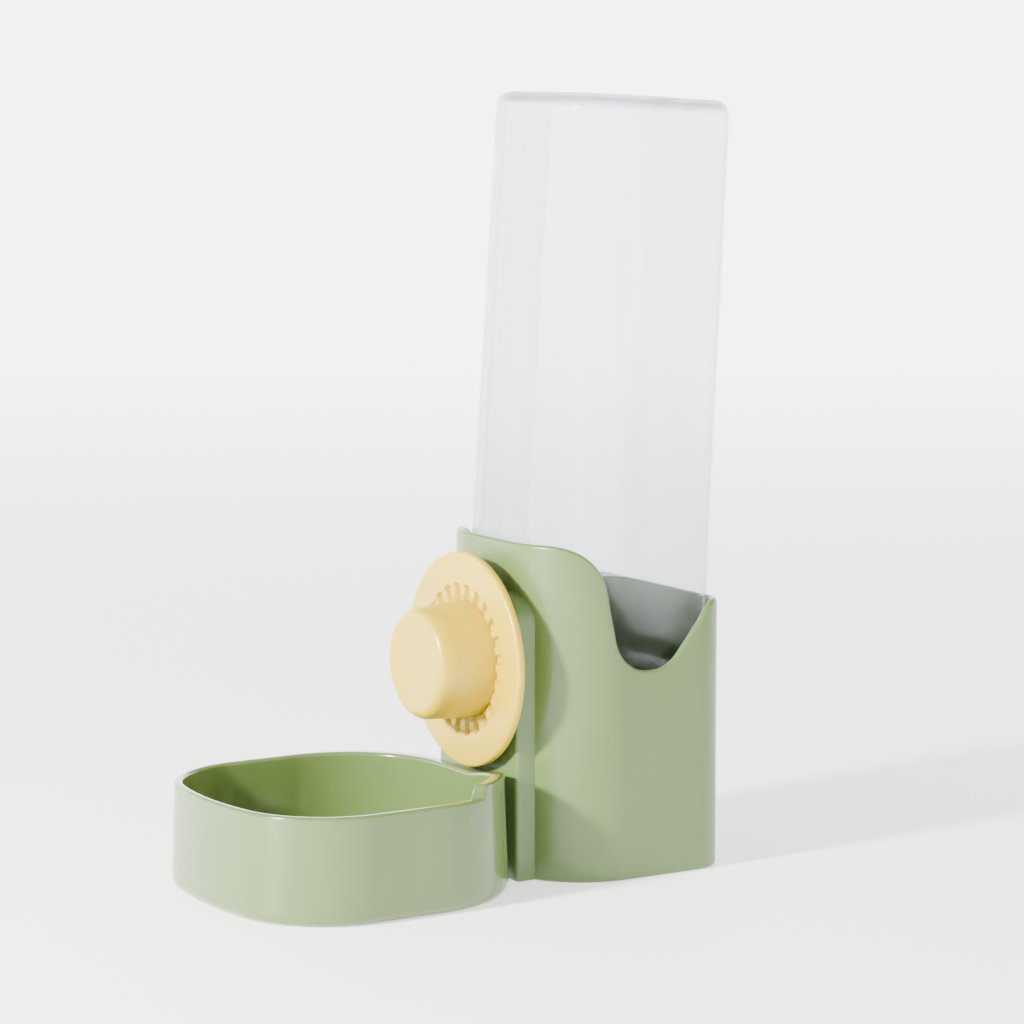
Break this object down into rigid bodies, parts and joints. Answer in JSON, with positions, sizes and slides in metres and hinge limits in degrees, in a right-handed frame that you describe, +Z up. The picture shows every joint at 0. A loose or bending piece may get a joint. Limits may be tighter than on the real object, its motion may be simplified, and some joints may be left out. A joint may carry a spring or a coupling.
{
  "type": "clip-on pet water dispenser",
  "caption": "Cage-mounted gravity water dispenser: drop-in bottle in a holder tower, plug-on bowl, and a clamp disc with a turning knob.",
  "frame": {"origin": "middle of the holder's footprint, on the plane that the part stands on", "axes": "+X to the side, -Y from the holder towards the bowl, +Z up"},
  "size_m": [0.1028, 0.1823, 0.2593],
  "materials": {
    "holder_plastic": "satin, moulded, sage green",
    "bowl_plastic": "satin to glossy, moulded, sage green",
    "clamp_plastic": "satin, moulded, pale yellow",
    "bottle_clear": "clear, faintly grey",
    "valve_plastic": "natural white, moulded",
    "silicone": "matt, translucent white",
    "bolt_steel": "zinc plated",
    "insert_brass": "turned",
    "spring_steel": "bright stainless wire"
  },
  "bodies": {
    "holder": {"holder_shell": "holder_plastic", "bottle_seat": "holder_plastic", "valve_opener": "holder_plastic", "clamp_bolt": "bolt_steel", "bolt_retainer": "bolt_steel"},
    "bowl": {"bowl": "bowl_plastic", "spout_seal": "silicone"},
    "disc": {"clamp_disc": "clamp_plastic"},
    "knob": {"knob": "clamp_plastic", "knob_insert": "insert_brass"},
    "valve": {"valve_stem": "valve_plastic", "valve_washer": "silicone", "valve_spring": "spring_steel"},
    "bottle": {"bottle": "bottle_clear", "bottle_cap": "valve_plastic", "cap_gasket": "silicone", "valve_cage": "valve_plastic"}
  },
  "joints": [
    {"name": "bowl_pull", "type": "slide", "parent": "holder", "child": "bowl", "axis": [0, -1, 0], "range_m": [0, 0.04]},
    {"name": "disc_slide", "type": "slide", "parent": "holder", "child": "disc", "axis": [0, -1, 0], "range_m": [-0.0026, 0.0076]},
    {"name": "knob_turn", "type": "hinge", "parent": "disc", "child": "knob", "pos_m": [0, -0.0522, 0.0718], "axis": [0, -1, 0], "range_deg": [-720, 2160]},
    {"name": "bottle_lift", "type": "slide", "parent": "holder", "child": "valve", "axis": [0, 0.0593, 0.9982], "range_m": [0, 0.12]},
    {"name": "valve_close", "type": "slide", "parent": "valve", "child": "bottle", "axis": [0, 0.0593, 0.9982], "range_m": [0, 0.003], "stiffness_N_per_m": 60, "springref_m": 0.009, "deforming": ["valve_spring"]}
  ],
  "couplings": [
    {"joint": "disc_slide", "follows": "knob_turn", "m_per_rad": 0.00019894}
  ]
}
